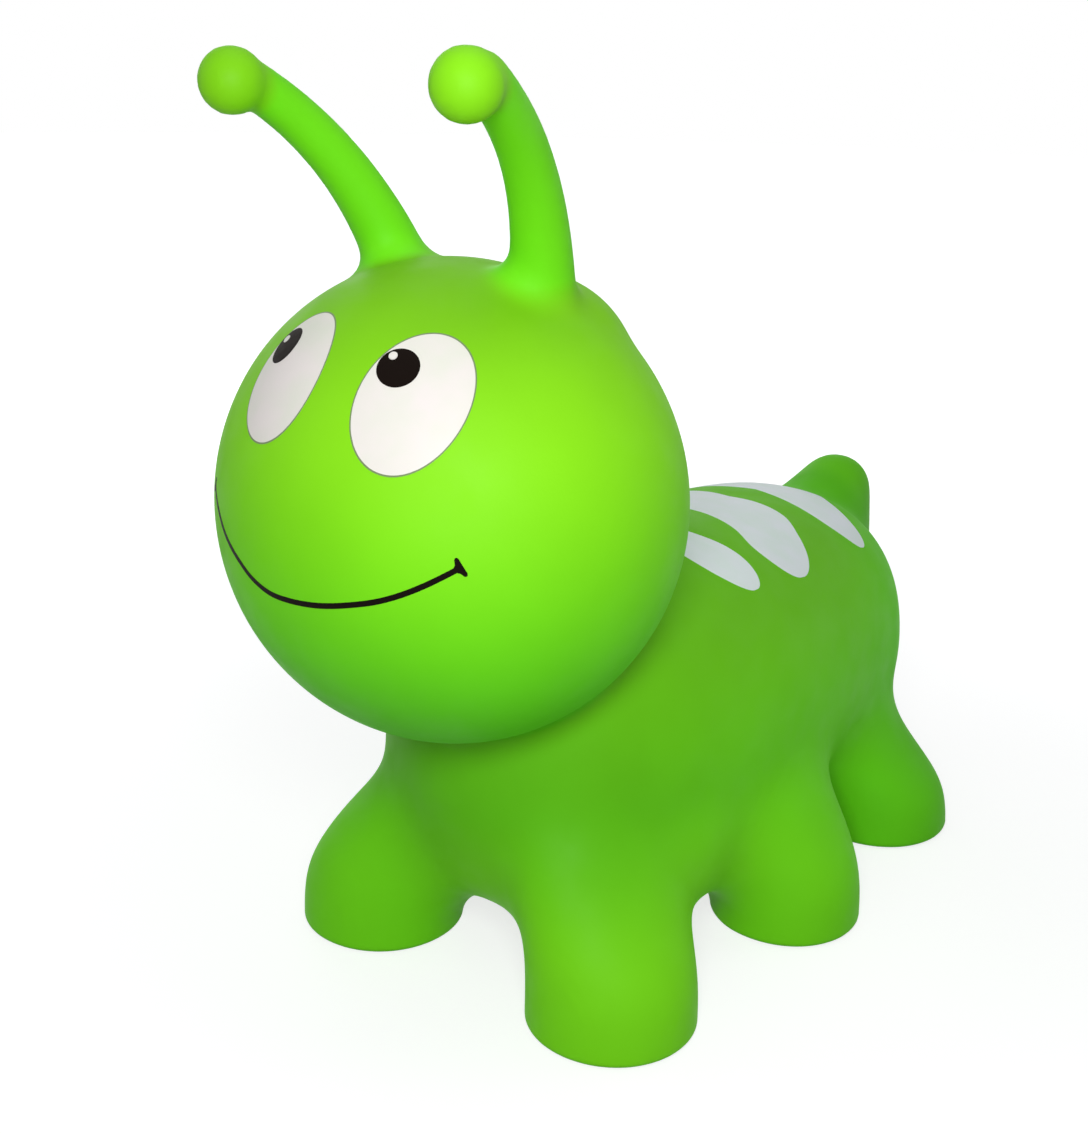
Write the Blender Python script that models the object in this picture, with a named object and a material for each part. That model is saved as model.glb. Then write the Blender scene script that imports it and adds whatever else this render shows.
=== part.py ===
"""Inflatable bug hopper: a six-legged ride-on animal, one moulded vinyl skin blown up through its belly.

The skin is hollow and is divided where the real one creases or flexes: head, torso, tail, six legs
that each end in a foot, and two antennae that serve as handles. Every piece opens into the next, so
the air chamber is one space. The valve is in the belly, and the face and stripes are printed films.

Metres, +Z up. The animal faces -Y, its left side is +X, and the origin is on the floor under the
middle of its length.
"""

import math

import bmesh
import bpy
from mathutils import Matrix, Vector

# Finishes, as (name, linear colour, roughness)
LIME_VINYL = ("lime vinyl", (0.25, 0.62, 0.03), 0.42)
WHITE_INK = ("white ink", (0.90, 0.90, 0.88), 0.45)
BLACK_INK = ("black ink", (0.015, 0.013, 0.012), 0.40)
VALVE_VINYL = ("valve vinyl", (0.80, 0.82, 0.78), 0.35)

# Direction of each side along X
SIDES = {"left": 1, "right": -1}

# Edges sharper than this are shaded as edges, in degrees
SHARP_ANGLE = 40.0

# Skin
WALL = 0.002
SOLE = 0.003
GAP = 0.0003
FILM = 0.0005

# Head, an ellipsoid a little short from front to back
HEAD_CENTRE = Vector((0.0, -0.1954, 0.3104))
HEAD_RADII = Vector((0.1311, 0.1253, 0.1326))
HEAD_SEGMENTS = 30
HEAD_RINGS = 17

# Torso, as keys of (distance along Y, height of the back, height of the belly, half width, how much
# narrower it gets towards the back)
TORSO_KEYS = (
    (-0.200, 0.215, 0.068, 0.060, 0.00),
    (-0.160, 0.240, 0.044, 0.083, 0.00),
    (-0.100, 0.256, 0.032, 0.107, 0.00),
    (-0.010, 0.256, 0.029, 0.117, 0.00),
    (0.090, 0.245, 0.031, 0.114, 0.02),
    (0.190, 0.2335, 0.041, 0.102, 0.06),
    (0.240, 0.212, 0.050, 0.088, 0.10),
    (0.282, 0.156, 0.061, 0.072, 0.12),
)
CHEST_ROUND = 0.050
RUMP_ROUND = 0.075
TORSO_SQUARENESS = 2.4
TORSO_SEGMENTS = 28
FIRST_RING_ANGLE = 4.0
ROUND_STEPS = 4
BARREL_STEPS = 7

# Feet, as the middles of their soles
FEET = {
    "front_left": Vector((0.0932, -0.1592, 0.0)),
    "front_right": Vector((-0.0925, -0.1505, 0.0)),
    "mid_left": Vector((0.1156, 0.0160, 0.0)),
    "mid_right": Vector((-0.1156, 0.0160, 0.0)),
    "rear_left": Vector((0.1050, 0.1780, 0.0)),
    "rear_right": Vector((-0.1050, 0.1780, 0.0)),
}

# Legs, as keys of (height, radius across, radius along, share of the drift towards the body)
LEG_KEYS = {
    "front": (
        (0.000, 0.0520, 0.0520, 0.00),
        (0.030, 0.0516, 0.0520, 0.01),
        (0.050, 0.0490, 0.0540, 0.09),
        (0.080, 0.0470, 0.0600, 0.33),
        (0.110, 0.0460, 0.0670, 0.66),
        (0.140, 0.0430, 0.0710, 1.00),
    ),
    "mid": (
        (0.000, 0.0495, 0.0495, 0.00),
        (0.030, 0.0495, 0.0500, 0.02),
        (0.050, 0.0490, 0.0530, 0.12),
        (0.080, 0.0485, 0.0610, 0.38),
        (0.110, 0.0475, 0.0680, 0.69),
        (0.140, 0.0430, 0.0720, 1.00),
    ),
    "rear": (
        (0.000, 0.0520, 0.0520, 0.00),
        (0.030, 0.0508, 0.0518, 0.04),
        (0.050, 0.0468, 0.0530, 0.20),
        (0.080, 0.0415, 0.0580, 0.48),
        (0.110, 0.0375, 0.0630, 0.74),
        (0.140, 0.0350, 0.0660, 1.00),
    ),
}

# How far each pair of legs leans inward and along Y on the way up
LEG_DRIFT = {"front": (0.068, 0.050), "mid": (0.072, 0.000), "rear": (0.072, -0.024)}
LEG_SEGMENTS = 20
LEG_TOP = 0.135
LEG_STEPS = 4
SOLE_ROUND = 0.0042
SOLE_ROUND_STEPS = 3
SOLE_INSET = 0.004
FOOT_HEIGHT = 0.020

# Antennae, bent handles with a ball end, as (root, bend, middle of the ball)
ANTENNAE = {
    "left": (
        Vector((0.0498, -0.1870, 0.4331)),
        Vector((0.0612, -0.2056, 0.5072)),
        Vector((0.0848, -0.2930, 0.5370)),
    ),
    "right": (
        Vector((-0.0490, -0.1812, 0.4315)),
        Vector((-0.0656, -0.2052, 0.5012)),
        Vector((-0.0792, -0.2729, 0.5305)),
    ),
}
ANTENNA_RADII = (0.0176, 0.0121)
ANTENNA_FLARE = 2
ANTENNA_BALL = 0.0169
ANTENNA_FLEX = 0.32
ANTENNA_PIVOT = 0.18
ANTENNA_SINK = 0.15
ANTENNA_ROOT_STEPS = 4
ANTENNA_STEM_STEPS = 7
ANTENNA_SEGMENTS = 14

# Tail, a blunt cone that leans back off the rump, as (root, bend, middle of its round end)
TAIL_PATH = (Vector((0.0, 0.240, 0.172)), Vector((0.0, 0.264, 0.191)), Vector((0.0, 0.2838, 0.2103)))
TAIL_RADII = (0.052, 0.0305)
TAIL_FLARE = 1
TAIL_END = 0.0290
TAIL_STEPS = 4
TAIL_SEGMENTS = 16

# Limbs with a round end stop this far from the pole, in degrees
POLE_ANGLE = 8.0

# Printed eyes, each by its bearing and height on the head in degrees, its oval and lean, and its pupil
EYES = {
    "left": {
        "at": (26.4, 37.4), "radii": (0.0283, 0.0390), "lean": -19.9, "egg": -0.015,
        "pupil": (-0.0095, 0.0164), "pupil_radii": (0.0109, 0.0108), "glint": (-0.0132, 0.0229),
    },
    "right": {
        "at": (-18.8, 38.7), "radii": (0.0266, 0.0383), "lean": 8.3, "egg": -0.056,
        "pupil": (-0.0154, 0.0133), "pupil_radii": (0.0091, 0.0112), "glint": (-0.0204, 0.0166),
    },
}
GLINT_RADIUS = 0.0023
EYE_POINTS = 28
PUPIL_POINTS = 20
GLINT_POINTS = 10
EYE_CUT_DEPTH = 0.031

# Printed mouth, an arc round a point in front of the head, as keys of (angle in degrees, radius)
MOUTH_CENTRE = Vector((0.0, 0.0, 0.415))
MOUTH_KEYS = (
    (-42.0, 0.1225), (-29.0, 0.1251), (-16.0, 0.1284), (-2.0, 0.1284), (14.0, 0.1270), (27.0, 0.1280),
    (40.5, 0.1288),
)
MOUTH_LINE = 0.0026
MOUTH_STEPS = 22
MOUTH_TICK = (0.0030, 0.0092)
MOUTH_TICK_LEAN = 11.0
MOUTH_TICK_POINTS = 10

# Printed stripes over the back, alike on both sides, as keys of (distance across, middle along Y, half
# width), with the power that rounds their ends: the higher, the blunter
STRIPES = {
    "front": (6, (
        (0.0000, -0.0250, 0.0165), (0.0380, -0.0170, 0.0182), (0.0570, -0.0128, 0.0223),
        (0.0700, -0.0091, 0.0236), (0.0885, -0.0030, 0.0225),
    )),
    "middle": (6, (
        (0.0000, 0.0815, 0.0325), (0.0200, 0.0835, 0.0340), (0.0450, 0.0780, 0.0353),
        (0.0650, 0.0655, 0.0346), (0.0895, 0.0580, 0.0300),
    )),
    "rear": (4, (
        (0.0000, 0.1830, 0.0300), (0.0200, 0.1790, 0.0315), (0.0380, 0.1700, 0.0262),
        (0.0600, 0.1655, 0.0240), (0.0800, 0.1680, 0.0235),
    )),
}
STRIPE_STEPS = 18

# Valve in the belly
VALVE_AT = Vector((0.0, 0.050, 0.0))
VALVE_FLANGE = 0.0120
VALVE_COLLAR = 0.0085
VALVE_BORE = 0.0055
VALVE_DEPTH = 0.014
VALVE_SHOULDER = 0.0008
PLUG_HEAD = 0.0078
PLUG_HEAD_HEIGHT = 0.0018
PLUG_HEAD_BEVEL = 0.0006
PLUG_RIB = 0.0052
PLUG_CORE = 0.0044
PLUG_TIP = 0.0026
PLUG_RIBS = 3
PLUG_RIBS_FROM = 0.001
PLUG_RIBS_TO = 0.012
PLUG_RIB_PEAK = 0.3
PLUG_RIB_END = 0.9
VALVE_SEGMENTS = 16


def finished_in(finish, name):
    """A piece's own Principled material in one of the finishes."""
    kind, colour, roughness = finish
    material = bpy.data.materials.new(f"{name} {kind}")
    material.use_nodes = True
    material.diffuse_color = (*colour, 1.0)
    shader = material.node_tree.nodes["Principled BSDF"]
    shader.inputs["Base Color"].default_value = (*colour, 1.0)
    shader.inputs["Roughness"].default_value = roughness
    shader.inputs["Metallic"].default_value = 0.0
    return material


def value_at(keys, t):
    """Values at t on the smooth curves through keys of (t, value, value...)."""
    last = len(keys) - 1
    i = min(max(sum(key[0] <= t for key in keys) - 1, 0), last - 1)
    before, start, end, after = (keys[min(max(i + step, 0), last)] for step in (-1, 0, 1, 2))
    span = end[0] - start[0]
    s = min(max((t - start[0]) / span, 0.0), 1.0)
    values = []
    for k in range(1, len(start)):
        slope_in = (end[k] - before[k]) / (end[0] - before[0]) * span
        slope_out = (after[k] - start[k]) / (after[0] - start[0]) * span
        values.append(
            (2 * s**3 - 3 * s**2 + 1) * start[k]
            + (s**3 - 2 * s**2 + s) * slope_in
            + (3 * s**2 - 2 * s**3) * end[k]
            + (s**3 - s**2) * slope_out
        )
    return values


def new_object(name, bm):
    """A shaded object from a bmesh, whose faces are turned outward first."""
    bmesh.ops.recalc_face_normals(bm, faces=bm.faces)
    mesh = bpy.data.meshes.new(name)
    bm.to_mesh(mesh)
    bm.free()
    thing = bpy.data.objects.new(name, mesh)
    bpy.context.scene.collection.objects.link(thing)
    return thing


def complete(thing, finish, parent, origin=None):
    """Give a solid its material, smooth shading, parent and, if it moves, its joint's origin."""
    thing.data.materials.clear()
    thing.data.materials.append(finished_in(finish, thing.name))
    thing.data.shade_smooth()
    thing.data.set_sharp_from_angle(angle=math.radians(SHARP_ANGLE))
    if origin is not None:
        thing.data.transform(Matrix.Translation(-origin))
        thing.location = origin
    thing.parent = parent
    return thing


def loft(name, rings, tube=False):
    """Skin a row of rings into a closed solid: capped at both ends, or joined into a tube."""
    bm = bmesh.new()
    loops = [[bm.verts.new(point) for point in ring] for ring in rings]
    pairs = list(zip(loops, loops[1:]))
    if tube:
        pairs.append((loops[-1], loops[0]))
    else:
        bm.faces.new(loops[0])
        bm.faces.new(loops[-1])
    for first, second in pairs:
        for k in range(len(first)):
            bm.faces.new((first[k - 1], first[k], second[k], second[k - 1]))
    return new_object(name, bm)


def turned(name, profile):
    """A solid turned about Z from a closed profile of (radius, height)."""
    bm = bmesh.new()
    points = [bm.verts.new((radius, 0.0, height)) for radius, height in profile]
    edges = [bm.edges.new((a, b)) for a, b in zip(points, points[1:] + points[:1])]
    bmesh.ops.spin(
        bm, geom=points + edges, axis=(0, 0, 1), cent=(0, 0, 0), angle=math.tau,
        steps=VALVE_SEGMENTS, use_merge=True,
    )
    bmesh.ops.remove_doubles(bm, verts=bm.verts, dist=1e-6)
    loose = [edge for edge in bm.edges if not edge.link_faces]
    bmesh.ops.delete(bm, geom=loose, context="EDGES")
    return new_object(name, bm)


def boolean(thing, tools, operation):
    """Apply EXACT booleans with the tools, which are used up."""
    for tool in tools:
        modifier = thing.modifiers.new("cut", "BOOLEAN")
        modifier.operation = operation
        modifier.solver = "EXACT"
        modifier.object = tool
    graph = bpy.context.evaluated_depsgraph_get()
    mesh = bpy.data.meshes.new_from_object(thing.evaluated_get(graph))
    thing.modifiers.clear()
    thing.data = mesh
    mesh.name = thing.name
    for tool in tools:
        bpy.data.objects.remove(tool)
    return thing


def cut(thing, *tools):
    return boolean(thing, tools, "DIFFERENCE")


def keep(thing, *tools):
    return boolean(thing, tools, "INTERSECT")


def join(thing, *tools):
    return boolean(thing, tools, "UNION")


def head_solid(grow):
    """The head's ellipsoid, grown by an offset."""
    bm = bmesh.new()
    bmesh.ops.create_uvsphere(bm, u_segments=HEAD_SEGMENTS, v_segments=HEAD_RINGS, radius=1.0)
    bmesh.ops.scale(bm, vec=HEAD_RADII + Vector((grow, grow, grow)), verts=bm.verts)
    bmesh.ops.translate(bm, vec=HEAD_CENTRE, verts=bm.verts)
    return new_object("head_solid", bm)


def torso_stations():
    """Distances along Y of the torso's rings, as (distance, end it rounds to, sine, cosine)."""
    front = TORSO_KEYS[0][0]
    back = TORSO_KEYS[-1][0]
    turn = 90.0 - FIRST_RING_ANGLE
    angles = [math.radians(FIRST_RING_ANGLE + turn * k / ROUND_STEPS) for k in range(ROUND_STEPS)]
    stations = [(front + CHEST_ROUND * (1 - math.cos(a)), -1, math.sin(a), math.cos(a)) for a in angles]
    length = back - RUMP_ROUND - front - CHEST_ROUND
    for step in range(BARREL_STEPS + 1):
        stations.append((front + CHEST_ROUND + length * step / BARREL_STEPS, 0, 1.0, 0.0))
    for a in reversed(angles):
        stations.append((back - RUMP_ROUND * (1 - math.cos(a)), 1, math.sin(a), math.cos(a)))
    return stations


def torso_rings(grow):
    """Rings of the torso, whose section is a slightly squared oval."""
    rings = []
    for y, end, sine, cosine in torso_stations():
        back, belly, half_width, taper = value_at(TORSO_KEYS, y)
        middle = (back + belly) / 2
        half_height = ((back - belly) / 2 + grow) * sine
        half_width = (half_width + grow) * sine
        ring = []
        for k in range(TORSO_SEGMENTS):
            a = math.tau * k / TORSO_SEGMENTS
            across = math.copysign(abs(math.cos(a)) ** (2 / TORSO_SQUARENESS), math.cos(a))
            up = math.copysign(abs(math.sin(a)) ** (2 / TORSO_SQUARENESS), math.sin(a))
            x = half_width * across * (1 - taper * up)
            ring.append((x, y + end * cosine * grow, middle + half_height * up))
        rings.append(ring)
    return rings


def torso_solid(grow):
    return loft("torso_solid", torso_rings(grow))


def leg_ring(name, height, grow):
    """A level ring round a leg at one height."""
    pair, side = name.split("_")
    across, along, drift = value_at(LEG_KEYS[pair], height)
    inward, along_body = LEG_DRIFT[pair]
    centre = FEET[name] + Vector((-SIDES[side] * inward * drift, along_body * drift, height))
    angles = [math.tau * k / LEG_SEGMENTS for k in range(LEG_SEGMENTS)]
    return [
        centre + Vector(((across + grow) * math.cos(a), (along + grow) * math.sin(a), 0.0))
        for a in angles
    ]


def leg_rings(name, bottom, top, grow):
    heights = [bottom + (top - bottom) * step / LEG_STEPS for step in range(LEG_STEPS + 1)]
    return [leg_ring(name, height, grow) for height in heights]


def on_curve(path, t):
    """Point and direction at t on the curve from root over bend to tip."""
    root, bend, tip = path
    point = (1 - t) ** 2 * root + 2 * t * (1 - t) * bend + t**2 * tip
    return point, ((1 - t) * (bend - root) + t * (tip - bend)).normalized()


def bent_rings(path, radii, flare, round_end, grow, start, end, steps, segments):
    """Rings along a bent, tapered limb from start to end (0 to 1), then over its round end, if any."""
    root, bend, tip = path
    side = (bend - root).cross(tip - bend)
    side = side.normalized() if side.length > 1e-9 else Vector((1.0, 0.0, 0.0))

    def ring(centre, along, radius):
        up = along.cross(side)
        angles = [math.tau * k / segments for k in range(segments)]
        return [centre + radius * (math.cos(a) * side + math.sin(a) * up) for a in angles]

    rings = []
    for step in range(steps + 1):
        t = start + (end - start) * step / steps
        centre, along = on_curve(path, t)
        radius = radii[1] + (radii[0] - radii[1]) * (1 - t) ** flare + grow
        covered = math.sqrt(max(0.0, (round_end + grow) ** 2 - radius**2))
        if round_end and (tip - centre).length < covered + 1e-5:
            break
        rings.append(ring(centre, along, radius))
    if not round_end:
        return rings
    along = (tip - bend).normalized()
    share = (radii[1] + grow) / (round_end + grow)
    first = math.pi - math.asin(share) if share < 1 else math.asin(1 / share)
    for step in range(steps + 1):
        angle = first + (math.radians(POLE_ANGLE) - first) * step / steps
        centre = tip + along * (round_end + grow) * math.cos(angle)
        rings.append(ring(centre, along, (round_end + grow) * math.sin(angle)))
    return rings


def antenna_rings(side, grow, start, end, steps, ball):
    path = ANTENNAE[side]
    return bent_rings(path, ANTENNA_RADII, ANTENNA_FLARE, ball, grow, start, end, steps, ANTENNA_SEGMENTS)


def tail_rings(grow):
    return bent_rings(
        TAIL_PATH, TAIL_RADII, TAIL_FLARE, TAIL_END, grow, 0.0, 1.0, TAIL_STEPS, TAIL_SEGMENTS
    )


def prism(outline, frame, depth):
    """An outline of (x, y) in a frame, drawn out both ways along the frame's Z."""
    rings = [[frame @ Vector((x, y, z)) for x, y in outline] for z in (-depth, depth)]
    return loft("prism", rings)


def oval(radii, centre, lean, points, egg=0.0):
    """An oval outline, its long axis leaning by an angle in degrees, fuller at one end."""
    c = math.cos(math.radians(lean))
    s = math.sin(math.radians(lean))
    outline = []
    for k in range(points):
        up = math.sin(math.tau * k / points)
        x = radii[0] * math.cos(math.tau * k / points) * (1 + egg * up)
        y = radii[1] * up
        outline.append((centre[0] + x * c - y * s, centre[1] + x * s + y * c))
    return outline


def head_film():
    """A thin layer just off the head's skin, from which the face prints are cut."""
    return cut(head_solid(GAP + FILM), head_solid(GAP))


def eye_frame(name):
    """A frame on the head at an eye: X level, Y up the head, Z out of it."""
    bearing, height = (math.radians(angle) for angle in EYES[name]["at"])
    level = Vector((math.sin(bearing), -math.cos(bearing), 0.0)) * math.cos(height)
    unit = level + Vector((0.0, 0.0, math.sin(height)))
    place = HEAD_CENTRE + unit * HEAD_RADII
    out = Vector([unit[k] / HEAD_RADII[k] for k in range(3)]).normalized()
    across = Vector((0, 0, 1)).cross(out).normalized()
    frame = Matrix((across, out.cross(across), out)).transposed().to_4x4()
    frame.translation = place
    return frame


def make_eye(name):
    """The white, the pupil set into it and the glint set into the pupil, as flush prints."""
    frame = eye_frame(name)
    eye = EYES[name]

    def disc(radii, centre, grow, points):
        outline = oval((radii[0] + grow, radii[1] + grow), centre, 0.0, points)
        return prism(outline, frame, EYE_CUT_DEPTH)

    def pupil(grow):
        return disc(eye["pupil_radii"], eye["pupil"], grow, PUPIL_POINTS)

    def glint(grow):
        return disc((GLINT_RADIUS, GLINT_RADIUS), eye["glint"], grow, GLINT_POINTS)

    outline = oval(eye["radii"], (0.0, 0.0), eye["lean"], EYE_POINTS, eye["egg"])
    white = cut(keep(head_film(), prism(outline, frame, EYE_CUT_DEPTH)), pupil(GAP))
    white.name = f"eye_white_{name}"
    black = cut(keep(head_film(), pupil(0.0)), glint(GAP))
    black.name = f"pupil_{name}"
    spark = keep(head_film(), glint(0.0))
    spark.name = f"eye_glint_{name}"
    return white, black, spark


def mouth_point(angle, offset=0.0):
    """A point on the mouth's arc, moved outward by an offset."""
    radius = value_at(MOUTH_KEYS, angle)[0] + offset
    return (radius * math.sin(math.radians(angle)), -radius * math.cos(math.radians(angle)))


def make_mouth():
    """A smile line with a short tick across each end."""
    first = MOUTH_KEYS[0][0]
    last = MOUTH_KEYS[-1][0]
    angles = [first + (last - first) * k / MOUTH_STEPS for k in range(MOUTH_STEPS + 1)]
    line = [mouth_point(angle, MOUTH_LINE / 2) for angle in angles]
    line += [mouth_point(angle, -MOUTH_LINE / 2) for angle in reversed(angles)]
    depth = HEAD_RADII.y
    forward = HEAD_CENTRE.y - depth
    frame = Matrix(((1, 0, 0), (0, 0, -1), (0, 1, 0))).to_4x4()
    frame.translation = Vector((MOUTH_CENTRE.x, forward, MOUTH_CENTRE.z))
    mouth = prism(line, frame, depth)
    for end in (first, last):
        radii = (MOUTH_TICK[0] / 2, MOUTH_TICK[1] / 2)
        lean = math.copysign(MOUTH_TICK_LEAN, end)
        join(mouth, prism(oval(radii, mouth_point(end), lean, MOUTH_TICK_POINTS), frame, depth - WALL))
    mouth = keep(mouth, head_film())
    mouth.name = "mouth"
    return mouth


def stripe_outline(power, keys):
    """A band across the back, alike on both sides, with round ends."""
    reach = keys[-1][0]
    front = []
    back = []
    for k in range(STRIPE_STEPS + 1):
        share = -math.cos(math.pi * k / STRIPE_STEPS)
        middle, half_width = value_at(keys, reach * abs(share))
        swell = half_width * math.sqrt(max(0.0, 1 - abs(share) ** power))
        back.append((reach * share, middle + swell))
        front.append((reach * share, middle - swell))
    return back + front[-2:0:-1]


def make_stripe(name):
    """A white band printed over the back, as far as the tail."""
    film = cut(torso_solid(GAP + FILM), torso_solid(GAP))
    frame = Matrix.Translation((0.0, 0.0, HEAD_CENTRE.z))
    band = keep(film, prism(stripe_outline(*STRIPES[name]), frame, HEAD_CENTRE.z / 2))
    cut(band, loft("clear_of_tail", tail_rings(GAP)))
    band.name = f"back_stripe_{name}"
    return band


def valve_place():
    """The valve's centre on the belly."""
    return Vector((VALVE_AT.x, VALVE_AT.y, value_at(TORSO_KEYS, VALVE_AT.y)[1]))


def make_valve(parent):
    """The valve seat, let into the belly, and its ribbed plug."""
    seat = turned(
        "valve_seat",
        (
            (VALVE_BORE, 0.0), (VALVE_FLANGE, 0.0), (VALVE_FLANGE, WALL),
            (VALVE_COLLAR, WALL + VALVE_SHOULDER), (VALVE_COLLAR, VALVE_DEPTH), (VALVE_BORE, VALVE_DEPTH),
        ),
    )
    seat.data.transform(Matrix.Translation(valve_place()))
    complete(seat, VALVE_VINYL, parent)
    top = -GAP
    bottom = top - PLUG_HEAD_HEIGHT
    profile = [(0.0, bottom), (PLUG_HEAD - PLUG_HEAD_BEVEL, bottom), (PLUG_HEAD, (top + bottom) / 2)]
    profile += [(PLUG_HEAD, top), (PLUG_CORE, top)]
    pitch = (PLUG_RIBS_TO - PLUG_RIBS_FROM) / PLUG_RIBS
    for rib in range(PLUG_RIBS):
        base = PLUG_RIBS_FROM + rib * pitch
        profile += [(PLUG_CORE, base), (PLUG_RIB, base + pitch * PLUG_RIB_PEAK)]
        profile.append((PLUG_CORE, base + pitch * PLUG_RIB_END))
    profile += [(PLUG_TIP, VALVE_DEPTH), (0.0, VALVE_DEPTH)]
    plug = turned("valve_plug", profile)
    plug.location = valve_place()
    complete(plug, VALVE_VINYL, parent)


def make_torso(parent):
    """The barrel of the body, opened for the head, the legs, the tail and the valve."""
    torso = cut(torso_solid(0.0), torso_solid(-WALL))
    bores = [head_solid(GAP)]
    for name in FEET:
        bores.append(loft("bore", leg_rings(name, FOOT_HEIGHT, LEG_TOP, -WALL)))
    bores.append(loft("bore", tail_rings(-WALL)))
    bores.append(valve_hole())
    cut(torso, *bores)
    torso.name = "torso"
    complete(torso, LIME_VINYL, parent)


def valve_hole():
    """A round cutter a little wider than the valve's flange."""
    bm = bmesh.new()
    radius = VALVE_FLANGE + GAP
    bmesh.ops.create_cone(
        bm, cap_ends=True, segments=VALVE_SEGMENTS, radius1=radius, radius2=radius, depth=VALVE_DEPTH
    )
    bmesh.ops.translate(bm, vec=valve_place(), verts=bm.verts)
    return new_object("valve_hole", bm)


def make_head(parent):
    """The hollow head, opened at the neck and under each antenna."""
    head = cut(head_solid(0.0), head_solid(-WALL))
    bores = [torso_solid(-WALL)]
    for side in SIDES:
        rings = antenna_rings(side, -WALL, -ANTENNA_SINK, ANTENNA_FLEX, ANTENNA_ROOT_STEPS, 0.0)
        bores.append(loft("bore", rings))
    cut(head, *bores)
    head.name = "head"
    complete(head, LIME_VINYL, parent)


def make_tail(parent):
    """The hollow knob at the end of the back, seated on the rump."""
    tail = cut(loft("tail", tail_rings(-WALL)[::-1] + tail_rings(0.0)), torso_solid(GAP))
    complete(tail, LIME_VINYL, parent)


def make_leg(name, parent):
    """A leg's sleeve, seated on the torso, and the foot that closes its lower end."""
    outer = leg_rings(name, FOOT_HEIGHT + GAP, LEG_TOP, 0.0)
    inner = leg_rings(name, FOOT_HEIGHT + GAP, LEG_TOP, -WALL)
    sleeve = cut(loft(f"leg_{name}", outer + inner[::-1], tube=True), torso_solid(GAP))
    complete(sleeve, LIME_VINYL, parent)
    rings = []
    for step in range(SOLE_ROUND_STEPS + 1):
        a = math.pi / 2 * step / SOLE_ROUND_STEPS
        rings.append(leg_ring(name, SOLE_ROUND * (1 - math.cos(a)), SOLE_ROUND * (math.sin(a) - 1)))
    rings.append(leg_ring(name, FOOT_HEIGHT, 0.0))
    rings.append(leg_ring(name, FOOT_HEIGHT, -WALL))
    rings.append(leg_ring(name, SOLE_ROUND + WALL, -WALL))
    rings.append(leg_ring(name, SOLE, -WALL - SOLE_INSET))
    complete(loft(f"foot_{name}", rings), LIME_VINYL, parent, origin=FEET[name])


def make_antenna(side, parent):
    """The flexing root ring of an antenna, seated on the head, and the stem with its ball."""
    outer = antenna_rings(side, 0.0, -ANTENNA_SINK, ANTENNA_FLEX, ANTENNA_ROOT_STEPS, 0.0)
    inner = antenna_rings(side, -WALL, -ANTENNA_SINK, ANTENNA_FLEX, ANTENNA_ROOT_STEPS, 0.0)
    root = cut(loft(f"antenna_root_{side}", outer + inner[::-1], tube=True), head_solid(GAP))
    complete(root, LIME_VINYL, parent)
    foot, bend, _ = ANTENNAE[side]
    start = ANTENNA_FLEX + GAP / (bend - foot).length
    outer = antenna_rings(side, 0.0, start, 1.0, ANTENNA_STEM_STEPS, ANTENNA_BALL)
    inner = antenna_rings(side, -WALL, start, 1.0, ANTENNA_STEM_STEPS, ANTENNA_BALL)
    stem = loft(f"antenna_{side}", inner[::-1] + outer)
    complete(stem, LIME_VINYL, parent, origin=on_curve(ANTENNAE[side], ANTENNA_PIVOT)[0])


def main():
    for thing in list(bpy.data.objects):
        bpy.data.objects.remove(thing)
    hopper = bpy.data.objects.new("hopper", None)
    bpy.context.scene.collection.objects.link(hopper)
    make_torso(hopper)
    make_head(hopper)
    make_tail(hopper)
    for name in FEET:
        make_leg(name, hopper)
    for side in SIDES:
        make_antenna(side, hopper)
    for name in EYES:
        for print_, ink in zip(make_eye(name), (WHITE_INK, BLACK_INK, WHITE_INK)):
            complete(print_, ink, hopper)
    complete(make_mouth(), BLACK_INK, hopper)
    for name in STRIPES:
        complete(make_stripe(name), WHITE_INK, hopper)
    make_valve(hopper)


main()
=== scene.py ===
"""Inflatable bug hopper: a six-legged ride-on animal of blown-up vinyl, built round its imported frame.

The whole skin is blown as one body in a mould, with soft webs where the legs swell out of the barrel
and a tight crease under the head, and is then divided into head, torso, tail, legs and antennae along
planes. The pieces keep the whole skin's shading, so that no line shows where they meet. The face and
the stripes are films of ink laid on the skin, and the valve sits in the belly.

Metres, +Z up. The animal faces -Y and its left side is +X.
"""

import math

import bmesh
import bpy
import numpy as np
from mathutils import Matrix, Vector
from mathutils.bvhtree import BVHTree


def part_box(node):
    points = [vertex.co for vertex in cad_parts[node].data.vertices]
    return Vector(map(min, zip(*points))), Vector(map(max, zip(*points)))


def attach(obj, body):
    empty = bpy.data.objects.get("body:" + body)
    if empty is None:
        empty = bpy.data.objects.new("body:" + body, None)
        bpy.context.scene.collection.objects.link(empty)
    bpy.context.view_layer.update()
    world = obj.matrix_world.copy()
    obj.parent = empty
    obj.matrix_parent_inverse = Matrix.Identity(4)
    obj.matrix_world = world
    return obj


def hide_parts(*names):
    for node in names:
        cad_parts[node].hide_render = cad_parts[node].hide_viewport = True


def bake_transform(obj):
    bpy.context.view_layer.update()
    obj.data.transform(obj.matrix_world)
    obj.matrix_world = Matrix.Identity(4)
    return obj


bl_info = {
    "name": "Inflatable bug hopper",
    "version": (1, 0, 0),
    "blender": (4, 5, 0),
    "location": "3D View > Sidebar > Hopper",
    "description": "Builds a ride-on animal of blown-up vinyl round its packed frame",
    "category": "Object",
}

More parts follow.
